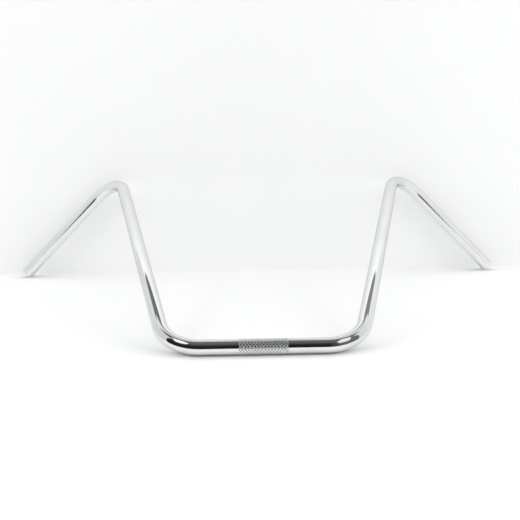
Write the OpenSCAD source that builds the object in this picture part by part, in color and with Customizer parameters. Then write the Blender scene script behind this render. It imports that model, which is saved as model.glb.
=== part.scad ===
// Tall motorcycle handlebar, bent from one length of round steel tube.
// It lies as it rests by itself: on its centre tube and on its two open ends.
// Origin: middle of the clamp zone, on the tube axis.
// +X runs along the centre tube to the right, +Y to the back, +Z up.

/* [Tube] */
// Outside diameter of the tube
tube_d = 22.2; // [19:0.1:28.6]
// Wall thickness of the tube
wall_t = 2; // [1.2:0.1:3.5]
// Bend radius of all four bends, measured on the tube axis
bend_r = 62; // [45:1:75]
// How much the wall is drawn thinner through a bend, on each face
bend_draw = 0.03; // [0.02:0.01:0.05]
// Chamfer round the outside of the cut ends
end_break = 0.4; // [0.1:0.1:0.6]

/* [Outline] */
// Width between the two lower corners, where the straight axes would cross
base_w = 270; // [250:1:400]
// Width between the two upper corners, where the straight axes would cross
shoulder_w = 532; // [440:1:620]
// Width between the centres of the two open ends
end_w = 914; // [820:1:980]
// Rise from the centre tube to the upper corners, square to the centre tube
rise = 494; // [360:1:600]
// Lean of the uprights above the floor, in degrees, as the bar lies
lean = 22.5; // [18:0.5:35]
// How far the open ends stand in front of the upper corners as the bar lies
end_pull = 7; // [0:1:60]

/* [Clamp zone] */
// Length of the band that is knurled for the clamp
knurl_w = 68; // [50:1:90]
// How much knurling raises the surface, on the radius
knurl_lift = 0.2; // [0.2:0.05:0.3]

/* [Hidden] */
$fn = 96;
steel = [0.80, 0.81, 0.83];
tube_r = tube_d / 2;
bore_r = tube_r - wall_t;
floor_z = -tube_r - knurl_lift;
// Each straight laps this far over the drawn end of a bend
lap = 1;

// Corners of the tube axis, right side, with every straight run carried to its crossing
lower = [base_w / 2, 0, 0];
upper = [shoulder_w / 2, rise * cos(lean), rise * sin(lean)];
end_x = end_w / 2;
end_y = upper.y - end_pull;

// Unit vector from a to b
function unit(a, b) = (b - a) / norm(b - a);

// Height of an end's centre when its chamfered rim stands on the floor, for a grip that falls by s
function rim_height(s) =
    let (flat = sqrt(1 - s * s))
    floor_z + tube_r * flat - end_break * min(s, flat);

// The fall depends on the end's height and the height on the fall, so the two are settled in turn
function settle(z, n) =
    n == 0 ? z : settle(rim_height(-unit(upper, [end_x, end_y, z]).z), n - 1);
settle_steps = 12;
end_pos = [end_x, end_y, settle(floor_z + tube_r, settle_steps)];

// Directions of the three straight runs, and the way the first bend goes inward
base_dir = [1, 0, 0];
rise_dir = unit(lower, upper);
grip_dir = unit(upper, end_pos);
up_slope = [0, cos(lean), sin(lean)];

// Bend program of one side: two bends, with a twist of the tube between them
bend_1 = acos(base_dir * rise_dir);
bend_2 = acos(rise_dir * grip_dir);
side_x = up_slope * cos(bend_1) - base_dir * sin(bend_1);
side_y = cross(base_dir, up_slope);
twist = atan2(grip_dir * side_y, grip_dir * side_x);

// Straight lengths between the bends
cut_1 = bend_r * tan(bend_1 / 2);
cut_2 = bend_r * tan(bend_2 / 2);
base_l = 2 * (lower.x - cut_1);
rise_l = norm(upper - lower) - cut_1 - cut_2;
grip_l = norm(end_pos - upper) - cut_2;

// Cross-section of the tube, with each face of the wall drawn in by some amount
module section(drawn = 0) {
    difference() {
        circle(r = tube_r - drawn);
        circle(r = bore_r + drawn);
    }
}

// Straight run of tube along +Z, lapping over the bend at each end
module run(l) {
    translate([0, 0, -lap])
        linear_extrude(height = l + 2 * lap)
            section();
}

// Bend that leaves the origin along +Z and turns towards +X
module bend(angle) {
    translate([bend_r, 0, 0])
        rotate([90, 0, 180])
            rotate_extrude(angle = angle)
                translate([bend_r, 0])
                    section(bend_draw);
}

// Carries its children to the far end of such a bend
module past_bend(angle) {
    translate([bend_r, 0, 0])
        rotate([0, angle, 0])
            translate([-bend_r, 0, 0])
                children();
}

// Straight grip along +Z with a square-cut, lightly chamfered open end
module grip() {
    rotate_extrude()
        polygon([
            [bore_r, -lap],
            [tube_r, -lap],
            [tube_r, grip_l - end_break],
            [tube_r - end_break, grip_l],
            [bore_r, grip_l]
        ]);
}

// One side of the bar, leaving the end of the centre tube along +Z
module side() {
    bend(bend_1);
    past_bend(bend_1) {
        run(rise_l);
        translate([0, 0, rise_l])
            rotate([0, 0, twist]) {
                bend(bend_2);
                past_bend(bend_2)
                    grip();
            }
    }
}

// Puts a side on the right end of the centre tube, its first bend going up the slope
module on_right() {
    translate([base_l / 2, 0, 0])
        rotate([0, 90, 0])
            rotate([0, 0, 90 + lean])
                children();
}

// Raised band of the clamp zone, sunk half into the wall
module clamp_band() {
    translate([-knurl_w / 2, 0, 0])
        rotate([0, 90, 0])
            linear_extrude(height = knurl_w)
                difference() {
                    circle(r = tube_r + knurl_lift);
                    circle(r = tube_r - wall_t / 2);
                }
}

module handlebar() {
    color(steel) {
        translate([-base_l / 2, 0, 0])
            rotate([0, 90, 0])
                run(base_l);
        clamp_band();
        on_right()
            side();
        mirror([1, 0, 0])
            on_right()
                side();
    }
}

handlebar();
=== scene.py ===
import math

import bpy
import numpy as np
from mathutils import Matrix, Vector


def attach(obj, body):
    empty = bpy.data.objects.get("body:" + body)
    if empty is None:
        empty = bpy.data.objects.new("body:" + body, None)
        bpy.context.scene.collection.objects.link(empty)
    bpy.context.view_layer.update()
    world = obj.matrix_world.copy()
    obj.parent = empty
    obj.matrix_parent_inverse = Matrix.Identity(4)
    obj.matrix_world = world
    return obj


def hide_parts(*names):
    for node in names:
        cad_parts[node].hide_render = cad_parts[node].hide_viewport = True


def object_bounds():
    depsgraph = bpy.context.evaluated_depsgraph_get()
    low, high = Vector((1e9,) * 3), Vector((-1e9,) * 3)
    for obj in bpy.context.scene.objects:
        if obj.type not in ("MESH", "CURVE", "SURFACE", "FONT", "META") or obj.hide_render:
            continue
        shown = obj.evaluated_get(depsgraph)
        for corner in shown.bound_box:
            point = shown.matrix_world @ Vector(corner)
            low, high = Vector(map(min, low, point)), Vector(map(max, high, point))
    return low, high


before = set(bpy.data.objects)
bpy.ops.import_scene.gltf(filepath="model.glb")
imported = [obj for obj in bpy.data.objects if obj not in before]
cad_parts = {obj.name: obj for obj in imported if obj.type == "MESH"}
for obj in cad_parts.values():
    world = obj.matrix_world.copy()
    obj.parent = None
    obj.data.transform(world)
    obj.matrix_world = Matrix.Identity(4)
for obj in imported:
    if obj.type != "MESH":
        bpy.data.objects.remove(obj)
cad_low, cad_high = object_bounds()

# Tall chrome handlebar, bent from one steel tube. Metres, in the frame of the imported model:
# the origin is the middle of the clamp zone, +X right, +Y back, +Z up.

MM = 0.001
FLOOR_Z = cad_low.z

# Tube
TUBE_R = 11.1 * MM
BORE_R = 9.1 * MM
BEND_R = 62 * MM
END_BREAK = 0.4 * MM
LIP_R = END_BREAK / 2

# Outline: the corners are where the straight axes would cross
BASE_W = 270 * MM
SHOULDER_W = 532 * MM
END_W = 914 * MM
RISE = 494 * MM
LEAN = math.radians(22.5)
END_PULL = 7 * MM
HEIGHT_ROUNDS = 12

# Knurled clamp zone: rows of diamonds along the tube and teeth around it
KNURL_W = 68 * MM
KNURL_CREST_R = TUBE_R + 0.2 * MM
KNURL_DEPTH = 0.5 * MM
KNURL_ROWS = 15
KNURL_TEETH = 10
CELLS_PER_TOOTH = 14
CREST_SHARE = 0.4

# Weld bead of the rolled tube, inside the bore. Its angle round the tube is in radians
BEAD_HEIGHT = 0.25 * MM
BEAD_HALF_WIDTH = 0.9 * MM
BEAD_ANGLE = 0.5
BEAD_TINT_FROM = 0.6 * MM
BEAD_TINT_TO = 2.5 * MM

# Plating that thins out in the bore, measured from each mouth
PLATED_FULL = 2 * MM
PLATED_LENGTH = 25 * MM

# Fineness of the skin
AROUND = KNURL_TEETH * CELLS_PER_TOOTH
BEND_STEP = math.radians(1)
BORE_BEND_STEP = math.radians(9)
RUN_STEPS = 10
BORE_RUN_STEPS = 4
RIM_RINGS = 3
LIP_RINGS = 5
SHARP_ANGLE = math.radians(40)

# Colours of the finishes
CHROME = (0.82, 0.835, 0.828, 1)
CHROME_HAZE = (0.79, 0.805, 0.8, 1)
CHROME_EDGE = (0.8, 0.815, 0.81, 1)
# Painted shade in the bottoms of the knurl grooves
GROOVE_SHADE = (0.54, 0.555, 0.55, 1)
STEEL = (0.4, 0.39, 0.38, 1)
STEEL_SCALE = (0.27, 0.25, 0.235, 1)
BEAD_STRAW = (0.5, 0.41, 0.3, 1)

# Colour sockets of the Mix node, which come after those for values and vectors
MIX_FIRST = 6
MIX_SECOND = 7
MIX_RESULT = 2

# Depth of the relief in each finish
CHROME_WAVE = 0.01 * MM
KNURL_GRAIN = 0.02 * MM
DRAWN_LINE = 0.03 * MM

# Floor and wall, each with two pale tones, and the pale far room that the floor fades into
FLOOR_HALF_W = 6
FLOOR_TONES = (0.935, 0.94, 0.94, 1), (0.925, 0.93, 0.93, 1)
FLOOR_GLOSS = 0.2
WALL_HALF_W = 0.8
WALL_TONES = (0.925, 0.93, 0.93, 1), (0.915, 0.92, 0.92, 1)
FABRIC_TONES = (1, 1, 1, 1), (0.97, 0.97, 0.97, 1)
FABRIC_GLOW = 0.095
PALE = (0.92, 0.925, 0.925, 1)
FADE_START = 1.1
FADE_END = 2.2

# The white light tent that the chrome mirrors: back, sides, roof and open front
WALL_Y = 0.47
TENT_X = 0.56
TENT_H = 0.65
SIDE_H = 0.75
TENT_FRONT = -0.13
ROOF_FRONT = 0.17
ROOF_BACK = 0.345
ROOF_EASE = 0.05
WEDGE_FRONT = 0.06
WEDGE_BACK = 0.24
SHEET_GAP = 0.001
TABLE_REACH = 3

# Outlines of the two lamp faces above the tent, seen from below
LAMP_Z = 1.1
LEFT_LAMP = [
    (-0.38, 0.03), (-0.6, 0.03), (-0.72, -0.22), (-1, -0.58),
    (-0.85, -0.85), (-0.62, -0.78), (-0.39, -0.38),
]
RIGHT_LAMP = [
    (0.42, -0.12), (0.64, -0.16), (0.86, -0.4), (1.5, -1.15),
    (1.3, -1.9), (0.8, -1.3), (0.52, -0.75),
]

# Dark room round the tent: axis, span of the direction, and the brightness over that span
ROOM_LEVELS = [
    ("Z", 0.35, 0.65, 0.015, 0.035),
    ("Z", 0.65, 1, 0, 0.12),
    ("X", 0.15, 0.7, 0, 0.14),
]

# Soft lamps that light the floor and wall: place, aim, width and height, watts
LAMPS = {
    "overhead": ((0, 0.1, 1.6), (0, 0.1, 0), (3.6, 3.2), 36),
    "front": ((0.1, -1.3, 0.8), (0, 0.3, 0.05), (3, 0.9), 5.5),
    "left": ((-2, 0.1, 1.1), (0, 0.2, 0), (2, 1.4), 23),
    "right": ((2, 0.1, 1.1), (0, 0.2, 0), (2, 1.4), 23),
}

# Camera at the photo's angle
CAMERA_AT = (-0.0179, -0.9375, 0.3457)
CAMERA_YAW = math.radians(0.886)
CAMERA_PITCH = math.radians(13.384)
CAMERA_ROLL = math.radians(-0.715)
SENSOR_W = 36
PHOTO_PX = 520
FOCAL_PX = 719
CLIP_NEAR = 0.05
CLIP_FAR = 50


def unit(v):
    """The vector divided by its own length."""
    return v / np.linalg.norm(v)


def end_height(upper, end_x, end_y):
    """Height of an open end's centre: the rim's lowest point stands on the floor.
    Tube radius times the fall's cosine above the floor, less the chamfer; the fall follows the
    height, so it is worked out again until both settle."""
    z = FLOOR_Z + TUBE_R
    for _ in range(HEIGHT_ROUNDS):
        fall = -unit(np.array([end_x, end_y, z]) - upper)[2]
        level = math.sqrt(1 - fall * fall)
        z = FLOOR_Z + TUBE_R * level - END_BREAK * min(fall, level)
    return z


LOWER = np.array([BASE_W / 2, 0, 0])
UPPER = np.array([SHOULDER_W / 2, RISE * math.cos(LEAN), RISE * math.sin(LEAN)])
END_Y = UPPER[1] - END_PULL
END = np.array([END_W / 2, END_Y, end_height(UPPER, END_W / 2, END_Y)])

BASE_DIR = np.array([1.0, 0, 0])
RISE_DIR = unit(UPPER - LOWER)
GRIP_DIR = unit(END - UPPER)
BEND_1 = math.acos(BASE_DIR @ RISE_DIR)
BEND_2 = math.acos(RISE_DIR @ GRIP_DIR)
CUT_1 = BEND_R * math.tan(BEND_1 / 2)
CUT_2 = BEND_R * math.tan(BEND_2 / 2)

# Distances along the axis from the middle of the bar
AT_BEND_1 = LOWER[0] - CUT_1
AT_UPRIGHT = AT_BEND_1 + BEND_R * BEND_1
AT_BEND_2 = AT_UPRIGHT + np.linalg.norm(UPPER - LOWER) - CUT_1 - CUT_2
AT_GRIP = AT_BEND_2 + BEND_R * BEND_2
AT_END = AT_GRIP + np.linalg.norm(END - UPPER) - CUT_2


def turned(v, axis, angle):
    """Vectors turned about an axis: v cos + (axis x v) sin + axis (axis . v)(1 - cos)."""
    c = np.cos(angle)[:, None]
    s = np.sin(angle)[:, None]
    return v * c + np.cross(axis, v) * s + np.outer(v @ axis, axis) * (1 - c)


def axis_frame(along):
    """Centre and two square cross vectors of the tube at signed distances from the middle.
    Each straight run adds its direction times its length so far, each bend adds
    R sin(angle) forwards and R (1 - cos(angle)) inwards. The left side mirrors the right."""
    d = np.abs(along)
    angle_1 = np.clip((d - AT_BEND_1) / BEND_R, 0, BEND_1)
    angle_2 = np.clip((d - AT_GRIP) / BEND_R + BEND_2, 0, BEND_2)
    hinge_1 = unit(np.cross(BASE_DIR, RISE_DIR))
    hinge_2 = unit(np.cross(RISE_DIR, GRIP_DIR))
    centre = (
        np.outer(np.minimum(d, AT_BEND_1) + BEND_R * np.sin(angle_1), BASE_DIR)
        + np.outer(BEND_R * (1 - np.cos(angle_1)), np.cross(hinge_1, BASE_DIR))
        + np.outer(np.clip(d, AT_UPRIGHT, AT_BEND_2) - AT_UPRIGHT, RISE_DIR)
        + np.outer(BEND_R * np.sin(angle_2), RISE_DIR)
        + np.outer(BEND_R * (1 - np.cos(angle_2)), np.cross(hinge_2, RISE_DIR))
        + np.outer(np.maximum(d - AT_GRIP, 0), GRIP_DIR)
    )
    start = np.tile(np.array([[0, 1.0, 0]]), (len(d), 1))
    out = turned(turned(start, hinge_1, angle_1), hinge_2, angle_2)
    start = np.tile(np.array([[0, 0, 1.0]]), (len(d), 1))
    up = turned(turned(start, hinge_1, angle_1), hinge_2, angle_2)
    side = np.where(along < 0, -1.0, 1.0)[:, None] * [1, 0, 0] + [0, 1, 1]
    return centre * side, out * side, up * side


def eased(start, end, steps):
    """Distances from start to end, closer together near both: (1 - cos(pi k / n)) / 2."""
    return start + (end - start) * (1 - np.cos(np.pi * np.arange(steps) / steps)) / 2


def half_stations(first, bend_step, run_steps, last):
    """Distances of the rings on the right half: even steps in the bends, eased on the straights."""
    steps_1 = math.ceil(BEND_1 / bend_step)
    steps_2 = math.ceil(BEND_2 / bend_step)
    return np.concatenate([
        eased(first, AT_BEND_1, run_steps),
        np.linspace(AT_BEND_1, AT_UPRIGHT, steps_1, endpoint=False),
        eased(AT_UPRIGHT, AT_BEND_2, run_steps),
        np.linspace(AT_BEND_2, AT_GRIP, steps_2, endpoint=False),
        eased(AT_GRIP, last, run_steps),
    ])


def wave(t):
    """Triangular wave: 0 at whole numbers, 1 half way between them."""
    return 1 - np.abs(2 * (t - np.floor(t)) - 1)


def knurl_rings():
    """Distances and radii of the knurled band, one row of radii for each ring.
    Two sets of grooves wind round the tube in opposite hands; the height is the lower of
    their two triangular waves, cut off flat at the crests. The outermost rings are plain."""
    count = KNURL_ROWS * CELLS_PER_TOOTH
    row = np.arange(count + 1)[:, None] / CELLS_PER_TOOTH
    tooth = np.arange(AROUND)[None, :] / CELLS_PER_TOOTH
    height = np.minimum(wave(row + tooth), wave(row - tooth)) / CREST_SHARE
    radius = KNURL_CREST_R - KNURL_DEPTH * (1 - np.minimum(height, 1))
    radius[0] = radius[-1] = TUBE_R
    return (np.arange(count + 1) / count - 0.5) * KNURL_W, radius


def skin_rings():
    """Distances along the axis and radii of all the rings, once round the closed skin:
    band, outside to the right, over the right rim, back through the bore, over the left rim,
    outside to the band. The chamfer is straight and the lip a quarter round. In the bore the
    radius is less by the weld bead: height times e^-(distance from its middle / half width)^2.
    Also gives the number of knurled strips, and the strips where the bore begins and is over."""
    band_at, band_r = knurl_rings()
    break_at = AT_END - END_BREAK
    outside = half_stations(KNURL_W / 2, BEND_STEP, RUN_STEPS, break_at)[1:]
    chamfer = np.linspace(0, END_BREAK, RIM_RINGS)
    quarter = np.linspace(0, math.pi / 2, LIP_RINGS)
    lip_at = AT_END - LIP_R * (1 - np.cos(quarter))
    lip_r = BORE_R + LIP_R * (1 - np.sin(quarter))
    right_at = np.concatenate([outside, break_at + chamfer, lip_at])
    right_r = np.concatenate([np.full(len(outside), TUBE_R), TUBE_R - chamfer, lip_r])
    plain = np.tile(right_r[:, None], (1, AROUND))

    bore = half_stations(0, BORE_BEND_STEP, BORE_RUN_STEPS, break_at)[::-1]
    angle = 2 * np.pi * np.arange(AROUND) / AROUND
    bead = BEAD_HEIGHT * np.exp(-(((angle - BEAD_ANGLE) * BORE_R / BEAD_HALF_WIDTH) ** 2))
    bore_r = np.tile(BORE_R - bead, (2 * len(bore) - 1, 1))

    at = np.concatenate([band_at, right_at, bore, -bore[-2::-1], -right_at[::-1]])
    radius = np.vstack([band_r, plain, bore_r, plain[::-1]])
    first_bore = len(band_at) + len(right_at)
    return at, radius, len(band_at) - 1, first_bore - 1, first_bore + len(bore_r)


def skin_mesh():
    """The whole handlebar as one closed grid of rings: centre + radius (out cos a + up sin a).
    Knurl cells are split in two along their groove, all others stay whole. Two attributes hold
    each point's place on the tube as if it were straight, and its depth in a knurl groove."""
    at, radius, knurl_strips, bore_from, bore_to = skin_rings()
    centre, out, up = axis_frame(at)
    angle = 2 * np.pi * np.arange(AROUND) / AROUND
    spoke = out[:, None] * np.cos(angle)[:, None] + up[:, None] * np.sin(angle)[:, None]
    points = centre[:, None] + radius[..., None] * spoke

    strip, column = np.meshgrid(np.arange(len(at)), np.arange(AROUND), indexing="ij")
    after = (strip + 1) % len(at)
    beside = (column + 1) % AROUND
    corners = np.stack([
        strip * AROUND + column,
        strip * AROUND + beside,
        after * AROUND + beside,
        after * AROUND + column,
    ], -1)
    cells = corners[:knurl_strips].reshape(-1, 4)
    i = strip[:knurl_strips].ravel()
    j = column[:knurl_strips].ravel()
    leans = wave((i + j + 1) / CELLS_PER_TOOTH) < wave((i - j) / CELLS_PER_TOOTH)
    halves_a = np.vstack([cells[leans][:, [0, 1, 3]], cells[leans][:, [1, 2, 3]]])
    halves_b = np.vstack([cells[~leans][:, [0, 1, 2]], cells[~leans][:, [0, 2, 3]]])
    knurl = np.vstack([halves_a, halves_b])
    wholes = corners[knurl_strips:].reshape(-1, 4)

    mesh = bpy.data.meshes.new("handlebar_tube")
    mesh.from_pydata(points.reshape(-1, 3).tolist(), [], knurl.tolist() + wholes.tolist())
    whole_strip = strip[knurl_strips:].ravel()
    in_bore = (whole_strip >= bore_from) & (whole_strip < bore_to)
    slot = np.concatenate([np.ones(len(knurl), int), np.where(in_bore, 2, 0)])
    mesh.polygons.foreach_set("material_index", slot.astype(np.int32))
    mesh.set_sharp_from_angle(angle=SHARP_ANGLE)
    mesh.polygons.foreach_set("use_smooth", slot != 1)

    straight = np.stack([
        np.tile(at[:, None], (1, AROUND)),
        radius * np.cos(angle),
        radius * np.sin(angle),
    ], -1)
    depth = np.zeros(radius.shape)
    band = radius[: knurl_strips + 1]
    depth[: knurl_strips + 1] = np.clip((KNURL_CREST_R - band) / KNURL_DEPTH, 0, 1)
    places = mesh.attributes.new("straight_place", "FLOAT_VECTOR", "POINT")
    places.data.foreach_set("vector", straight.ravel())
    depths = mesh.attributes.new("groove_depth", "FLOAT", "POINT")
    depths.data.foreach_set("value", depth.ravel())
    mesh.update()
    return mesh


def put(tree, socket, given):
    """Sets a socket to a plain value, or joins it to another node's output."""
    if isinstance(given, bpy.types.NodeSocket):
        tree.links.new(given, socket)
    else:
        socket.default_value = given


def add(tree, kind, **inputs):
    """A new node with its named inputs filled. An underscore stands for a space."""
    node = tree.nodes.new(kind)
    for name, given in inputs.items():
        put(tree, node.inputs[name.replace("_", " ")], given)
    return node


def ranged(tree, value, low, high, start=0, end=1):
    """Moves a value from the span start to end onto low to high, and stops it there."""
    span = {"From_Min": start, "From_Max": end, "To_Min": low, "To_Max": high}
    return add(tree, "ShaderNodeMapRange", Value=value, **span).outputs["Result"]


def figured(tree, operation, first, second=0.0):
    """One sum on values, such as ADD or MULTIPLY."""
    node = tree.nodes.new("ShaderNodeMath")
    node.operation = operation
    put(tree, node.inputs[0], first)
    put(tree, node.inputs[1], second)
    return node.outputs["Value"]


def mixed(tree, share, first, second):
    """A colour that goes from the first to the second as the share goes from 0 to 1."""
    node = tree.nodes.new("ShaderNodeMix")
    node.data_type = "RGBA"
    put(tree, node.inputs[0], share)
    put(tree, node.inputs[MIX_FIRST], first)
    put(tree, node.inputs[MIX_SECOND], second)
    return node.outputs[MIX_RESULT]


def object_place(tree):
    """The place on the object, in metres."""
    return tree.nodes.new("ShaderNodeTexCoord").outputs["Object"]


def attribute(tree, name, output):
    """One of the tube's own attributes."""
    node = tree.nodes.new("ShaderNodeAttribute")
    node.attribute_name = name
    return node.outputs[output]


def noise_group(name, output, detail, start, end):
    """A shared effect: noise read at place / (along, around, around), its span from start to
    end spread onto 0 to 1."""
    group = bpy.data.node_groups.new(name, "ShaderNodeTree")
    group.interface.new_socket("Place", in_out="INPUT", socket_type="NodeSocketVector")
    for label in ("Along", "Around"):
        group.interface.new_socket(label, in_out="INPUT", socket_type="NodeSocketFloat")
    group.interface.new_socket(output, in_out="OUTPUT", socket_type="NodeSocketFloat")
    given = group.nodes.new("NodeGroupInput").outputs
    sizes = add(group, "ShaderNodeCombineXYZ", X=given["Along"], Y=given["Around"], Z=given["Around"])
    shrink = group.nodes.new("ShaderNodeVectorMath")
    shrink.operation = "DIVIDE"
    put(group, shrink.inputs[0], given["Place"])
    put(group, shrink.inputs[1], sizes.outputs[0])
    noise = add(group, "ShaderNodeTexNoise", Vector=shrink.outputs[0], Scale=1, Detail=detail)
    spread = ranged(group, noise.outputs["Fac"], 0, 1, start, end)
    put(group, group.nodes.new("NodeGroupOutput").inputs[output], spread)
    return group


def use_effect(tree, group, place, along, around):
    """Places a shared effect in a material with its own sizes, and gives its output."""
    node = tree.nodes.new("ShaderNodeGroup")
    node.node_tree = group
    put(tree, node.inputs["Place"], place)
    put(tree, node.inputs["Along"], along)
    put(tree, node.inputs["Around"], around)
    return node.outputs[0]


def bumped(tree, shader, height, distance):
    """Turns a height from 0 to 1 into relief of the given depth."""
    relief = add(tree, "ShaderNodeBump", Height=height, Strength=1, Distance=distance)
    put(tree, shader.inputs["Normal"], relief.outputs["Normal"])


def principled(name, **inputs):
    """A new material with its Principled shader's named inputs filled."""
    material = bpy.data.materials.new(name)
    material.use_nodes = True
    tree = material.node_tree
    shader = tree.nodes["Principled BSDF"]
    for label, given in inputs.items():
        put(tree, shader.inputs[label.replace("_", " ")], given)
    return material, tree, shader


def polished_chrome(lines, patches):
    """Mirror plating: fine polishing rings round the tube, a soft haze and a very faint waviness."""
    material, tree, shader = principled("polished_chrome", Metallic=1, Specular_Tint=CHROME_EDGE)
    place = attribute(tree, "straight_place", "Vector")
    rings = use_effect(tree, lines, place, along=0.3 * MM, around=30 * MM)
    haze = use_effect(tree, patches, place, along=45 * MM, around=18 * MM)
    waves = use_effect(tree, patches, place, along=22 * MM, around=14 * MM)
    put(tree, shader.inputs["Base Color"], mixed(tree, haze, CHROME, CHROME_HAZE))
    hazy = ranged(tree, haze, low=0.025, high=0.05)
    brushed = ranged(tree, rings, low=0, high=0.02)
    put(tree, shader.inputs["Roughness"], figured(tree, "ADD", hazy, brushed))
    bumped(tree, shader, waves, CHROME_WAVE)
    return material


def knurled_chrome(lines, patches):
    """Plating over the rolled diamonds: bright crests with duller patches, grooves that are rougher and
    painted darker with their depth as painted shade, and a fine grain.
    """
    material, tree, shader = principled("knurled_chrome", Metallic=1)
    place = attribute(tree, "straight_place", "Vector")
    depth = attribute(tree, "groove_depth", "Fac")
    grain = use_effect(tree, lines, place, along=0.5 * MM, around=0.5 * MM)
    dull = use_effect(tree, patches, place, along=9 * MM, around=6 * MM)
    crest = mixed(tree, dull, CHROME, CHROME_HAZE)
    # Painted shade: the base colour darkens with the depth in the groove
    put(tree, shader.inputs["Base Color"], mixed(tree, depth, crest, GROOVE_SHADE))
    deep = ranged(tree, depth, low=0.04, high=0.45)
    grainy = ranged(tree, grain, low=0, high=0.12)
    put(tree, shader.inputs["Roughness"], figured(tree, "ADD", deep, grainy))
    bumped(tree, shader, grain, KNURL_GRAIN)
    return material


def bare_bore(lines, patches):
    """Bare drawn steel inside the tube: lines along it, a straw tint at the weld bead,
    and the plating thinning out over the first stretch behind each mouth."""
    material, tree, shader = principled("bare_bore", Metallic=1)
    place = attribute(tree, "straight_place", "Vector")
    split = add(tree, "ShaderNodeSeparateXYZ", Vector=place).outputs
    drawn = use_effect(tree, lines, place, along=40 * MM, around=0.6 * MM)
    mottle = use_effect(tree, patches, place, along=12 * MM, around=7 * MM)
    from_middle = figured(tree, "ABSOLUTE", split["X"])
    plated = ranged(tree, from_middle, 0, 1, AT_END - PLATED_LENGTH, AT_END - PLATED_FULL)
    across = figured(tree, "ADD", split["Z"], -BORE_R * math.sin(BEAD_ANGLE))
    from_bead = figured(tree, "ABSOLUTE", across)
    bead = ranged(tree, from_bead, 1, 0, BEAD_TINT_FROM, BEAD_TINT_TO)
    steel = mixed(tree, mottle, STEEL, STEEL_SCALE)
    tinted = mixed(tree, bead, steel, BEAD_STRAW)
    put(tree, shader.inputs["Base Color"], mixed(tree, plated, tinted, CHROME))
    smoother = ranged(tree, plated, low=0.42, high=0.12)
    lined = ranged(tree, drawn, low=0, high=0.14)
    put(tree, shader.inputs["Roughness"], figured(tree, "ADD", smoother, lined))
    bumped(tree, shader, drawn, DRAWN_LINE)
    return material


def make_handlebar(lines, patches):
    """The bar as one piece in three finishes: polished, knurled and bare."""
    bar = bpy.data.objects.new("handlebar_tube", skin_mesh())
    bpy.context.scene.collection.objects.link(bar)
    for finish in (polished_chrome, knurled_chrome, bare_bore):
        bar.data.materials.append(finish(lines, patches))
    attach(bar, "root")
    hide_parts("handlebar")


def new_stage(name, mesh):
    """A stage object from a mesh, which isn't part of the handlebar."""
    made = bpy.data.objects.new(name, mesh)
    bpy.context.scene.collection.objects.link(made)
    return made


def sheet(name, corners, material):
    """A flat sheet with the given corners."""
    mesh = bpy.data.meshes.new(name)
    mesh.from_pydata(corners, [], [range(len(corners))])
    mesh.materials.append(material)
    return new_stage(name, mesh)


def level_sheet(name, x, y, z, material):
    """A sheet that lies level: x and y hold its two ends, and it faces up."""
    return sheet(name, [(x[0], y[0], z), (x[1], y[0], z), (x[1], y[1], z), (x[0], y[1], z)], material)


def back_sheet(name, half_w, y, high, material):
    """A sheet that stands on the floor across the back."""
    feet = [(-half_w, y, FLOOR_Z), (half_w, y, FLOOR_Z)]
    return sheet(name, [*feet, (half_w, y, high), (-half_w, y, high)], material)


def side_sheet(name, x, material):
    """A sheet that stands on the floor from the tent's open front to its back."""
    y = WALL_Y - SHEET_GAP
    feet = [(x, TENT_FRONT, FLOOR_Z), (x, y, FLOOR_Z)]
    return sheet(name, [*feet, (x, y, SIDE_H), (x, TENT_FRONT, SIDE_H)], material)


def reflected_only(made):
    """Shows a panel in the chrome and nowhere else."""
    made.visible_camera = False
    made.visible_diffuse = False
    made.visible_shadow = False
    made.visible_transmission = False
    made.visible_volume_scatter = False


def fabric_glow(name, axis, levels):
    """Lit tent fabric or a lamp face: its brightness follows one object coordinate through
    the given places and levels."""
    material = bpy.data.materials.new(name)
    material.use_nodes = True
    tree = material.node_tree
    tree.nodes.clear()
    split = add(tree, "ShaderNodeSeparateXYZ", Vector=object_place(tree)).outputs
    first = levels[0][0]
    last = levels[-1][0]
    ramp = add(tree, "ShaderNodeValToRGB", Fac=ranged(tree, split[axis], 0, 1, first, last))
    stops = ramp.color_ramp.elements
    while len(stops) < len(levels):
        stops.new(0.5)
    for stop, (at, level) in zip(stops, levels):
        stop.position = (at - first) / (last - first)
        stop.color = (level, level, level, 1)
    glow = add(tree, "ShaderNodeEmission", Color=ramp.outputs["Color"]).outputs["Emission"]
    put(tree, tree.nodes.new("ShaderNodeOutputMaterial").inputs["Surface"], glow)
    return material


def shown_as(tree, share, first, second):
    """Shows the first shader, and the second as the share goes from 0 to 1."""
    both = add(tree, "ShaderNodeMixShader", Fac=share)
    put(tree, both.inputs[1], first)
    put(tree, both.inputs[2], second)
    put(tree, tree.nodes["Material Output"].inputs["Surface"], both.outputs[0])


def pale_floor(patches):
    """Matt pale floor with a slight unevenness. Far off, it fades into the pale room for the camera."""
    material, tree, shader = principled("pale_floor", Roughness=0.7, Specular_IOR_Level=FLOOR_GLOSS)
    place = object_place(tree)
    uneven = use_effect(tree, patches, place, along=0.4, around=0.4)
    put(tree, shader.inputs["Base Color"], mixed(tree, uneven, *FLOOR_TONES))
    from_centre = add(tree, "ShaderNodeVectorMath", Vector=place)
    from_centre.operation = "LENGTH"
    far = ranged(tree, from_centre.outputs["Value"], 0, 1, FADE_START, FADE_END)
    to_camera = tree.nodes.new("ShaderNodeLightPath").outputs["Is Camera Ray"]
    fading = figured(tree, "MULTIPLY", far, to_camera)
    room_tone = add(tree, "ShaderNodeEmission", Color=PALE).outputs["Emission"]
    shown_as(tree, fading, shader.outputs["BSDF"], room_tone)
    return material


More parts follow.
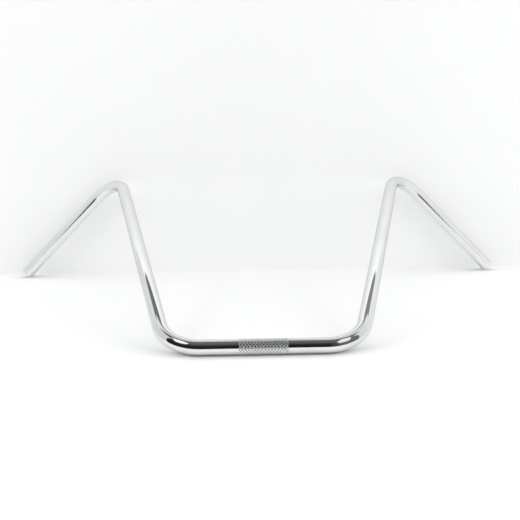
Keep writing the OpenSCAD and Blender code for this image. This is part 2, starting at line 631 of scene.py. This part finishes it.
def pale_wall(patches):
    """White tent fabric with light coming through it. It shows from its front only."""
    material, tree, shader = principled("pale_wall", Roughness=0.8, Emission_Strength=FABRIC_GLOW)
    uneven = use_effect(tree, patches, object_place(tree), along=0.3, around=0.3)
    put(tree, shader.inputs["Base Color"], mixed(tree, uneven, *WALL_TONES))
    put(tree, shader.inputs["Emission Color"], mixed(tree, uneven, *FABRIC_TONES))
    behind = tree.nodes.new("ShaderNodeNewGeometry").outputs["Backfacing"]
    clear = tree.nodes.new("ShaderNodeBsdfTransparent").outputs["BSDF"]
    shown_as(tree, behind, shader.outputs["BSDF"], clear)
    return material


def backdrop(patches):
    """Pale floor and the white back wall. The wall throws no shadow and no light of its own."""
    reach = (-FLOOR_HALF_W, FLOOR_HALF_W)
    level_sheet("floor", reach, reach, FLOOR_Z, pale_floor(patches))
    wall = back_sheet("back_wall", WALL_HALF_W, WALL_Y, FLOOR_Z + TENT_H, pale_wall(patches))
    wall.visible_glossy = False
    wall.visible_shadow = False
    wall.visible_diffuse = False


def tent():
    """What the chrome mirrors: white sheets at the back and sides, a roof that stops short of the
    back sheet and leaves a dim seam, two lamps above, and past the open front a sheet painted dark as
    the shade on the unlit table."""
    back = [(0, 0.9), (0.12, 0.91), (0.26, 0.97), (0.42, 1.08), (0.62, 1.2)]
    left = [(TENT_FRONT, 0.72), (0.15, 0.8), (0.35, 0.88), (WALL_Y, 0.86)]
    right = [(TENT_FRONT, 0.8), (0.15, 0.9), (0.35, 0.98), (WALL_Y, 0.98)]
    roof = [(ROOF_FRONT, 0.3), (ROOF_FRONT + ROOF_EASE, 0.85), (ROOF_BACK, 0.95)]
    wedge = [(0, 0.3), (0.15, 0.85), (TENT_X, 0.9)]
    seam = [(-0.1, 0.19), (0.1, 0.27)]
    # Painted shade of the unlit table past the open front
    table_shade = [(-TABLE_REACH, 0.03), (TENT_FRONT, 0.03)]
    left_face = [(-0.85, 0.6), (-0.6, 1.0), (-0.3, 1.3), (0.03, 1.2)]
    right_face = [(-1.9, 0.4), (-1.1, 0.8), (-0.5, 1.1), (-0.12, 1.1)]

    y = WALL_Y - SHEET_GAP
    wide = (-TENT_X, TENT_X)
    table = (-TABLE_REACH, TABLE_REACH)
    outside = (-TABLE_REACH, TENT_FRONT)
    corner = [
        (0, ROOF_FRONT, TENT_H),
        (TENT_X, WEDGE_FRONT, TENT_H),
        (TENT_X, WEDGE_BACK, TENT_H),
        (0, WEDGE_BACK, TENT_H),
    ]
    left_lamp = [(*point, LAMP_Z) for point in LEFT_LAMP]
    right_lamp = [(*point, LAMP_Z) for point in RIGHT_LAMP]
    seam_z = TENT_H + SHEET_GAP
    table_z = FLOOR_Z + SHEET_GAP / 2
    sheets = [
        back_sheet("back_sheet", TENT_X, y, TENT_H, fabric_glow("lit_back_sheet", "Z", back)),
        side_sheet("left_sheet", -TENT_X, fabric_glow("lit_left_sheet", "Y", left)),
        side_sheet("right_sheet", TENT_X, fabric_glow("lit_right_sheet", "Y", right)),
        level_sheet("roof", wide, (ROOF_FRONT, ROOF_BACK), TENT_H, fabric_glow("lit_roof", "Y", roof)),
        sheet("roof_corner", corner, fabric_glow("lit_roof_corner", "X", wedge)),
        level_sheet("seam", wide, (ROOF_BACK, y), seam_z, fabric_glow("dim_seam", "X", seam)),
        sheet("left_lamp", left_lamp, fabric_glow("left_lamp_face", "Y", left_face)),
        sheet("right_lamp", right_lamp, fabric_glow("right_lamp_face", "Y", right_face)),
        # Painted shade: a dark sheet past the open front stands for the unlit table, seen only in the
        # chrome
        level_sheet("painted_table_shade", table, outside, table_z, fabric_glow("painted_table_shade", "Y", table_shade)),
    ]
    for made in sheets:
        reflected_only(made)


def room():
    """Pale to the camera. To everything else a dark room, paler overhead and to the right."""
    world = bpy.data.worlds.new("studio")
    bpy.context.scene.world = world
    world.use_nodes = True
    tree = world.node_tree
    tree.nodes.clear()
    place = tree.nodes.new("ShaderNodeTexCoord").outputs["Generated"]
    split = add(tree, "ShaderNodeSeparateXYZ", Vector=place).outputs
    level = 0.0
    for axis, start, end, low, high in ROOM_LEVELS:
        level = figured(tree, "ADD", ranged(tree, split[axis], low, high, start, end), level)
    seen = add(tree, "ShaderNodeBackground", Color=PALE).outputs[0]
    lit = add(tree, "ShaderNodeBackground", Color=level).outputs[0]
    to_camera = tree.nodes.new("ShaderNodeLightPath").outputs["Is Camera Ray"]
    both = add(tree, "ShaderNodeMixShader", Fac=to_camera)
    put(tree, both.inputs[1], lit)
    put(tree, both.inputs[2], seen)
    put(tree, tree.nodes.new("ShaderNodeOutputWorld").inputs["Surface"], both.outputs[0])


def lights():
    """The soft lamps, each turned towards its aim. The chrome and the camera don't see them."""
    for name, (place, aim, size, watts) in LAMPS.items():
        data = bpy.data.lights.new(name, "AREA")
        data.shape = "RECTANGLE"
        data.size, data.size_y = size
        data.energy = watts
        made = bpy.data.objects.new(name, data)
        bpy.context.scene.collection.objects.link(made)
        made.location = place
        made.rotation_euler = (Vector(aim) - Vector(place)).to_track_quat("-Z", "Y").to_euler()
        made.visible_glossy = False
        made.visible_camera = False


def camera():
    """A level-framed camera turned by its yaw, then tipped down, then rolled."""
    data = bpy.data.cameras.new("camera")
    data.sensor_width = SENSOR_W
    data.lens = SENSOR_W * FOCAL_PX / PHOTO_PX
    data.clip_start = CLIP_NEAR
    data.clip_end = CLIP_FAR
    made = bpy.data.objects.new("camera", data)
    bpy.context.scene.collection.objects.link(made)
    turn = Matrix.Rotation(-CAMERA_YAW, 4, "Z")
    tip = Matrix.Rotation(math.pi / 2 - CAMERA_PITCH, 4, "X")
    roll = Matrix.Rotation(CAMERA_ROLL, 4, "Z")
    made.matrix_world = Matrix.Translation(CAMERA_AT) @ turn @ tip @ roll
    bpy.context.scene.camera = made


line_effect = noise_group("fine_lines", "Lines", detail=3, start=0.3, end=0.7)
patch_effect = noise_group("soft_patches", "Patches", detail=1, start=0.35, end=0.65)
make_handlebar(line_effect, patch_effect)
backdrop(patch_effect)
tent()
room()
lights()
camera()
bpy.context.scene.view_settings.view_transform = "Standard"
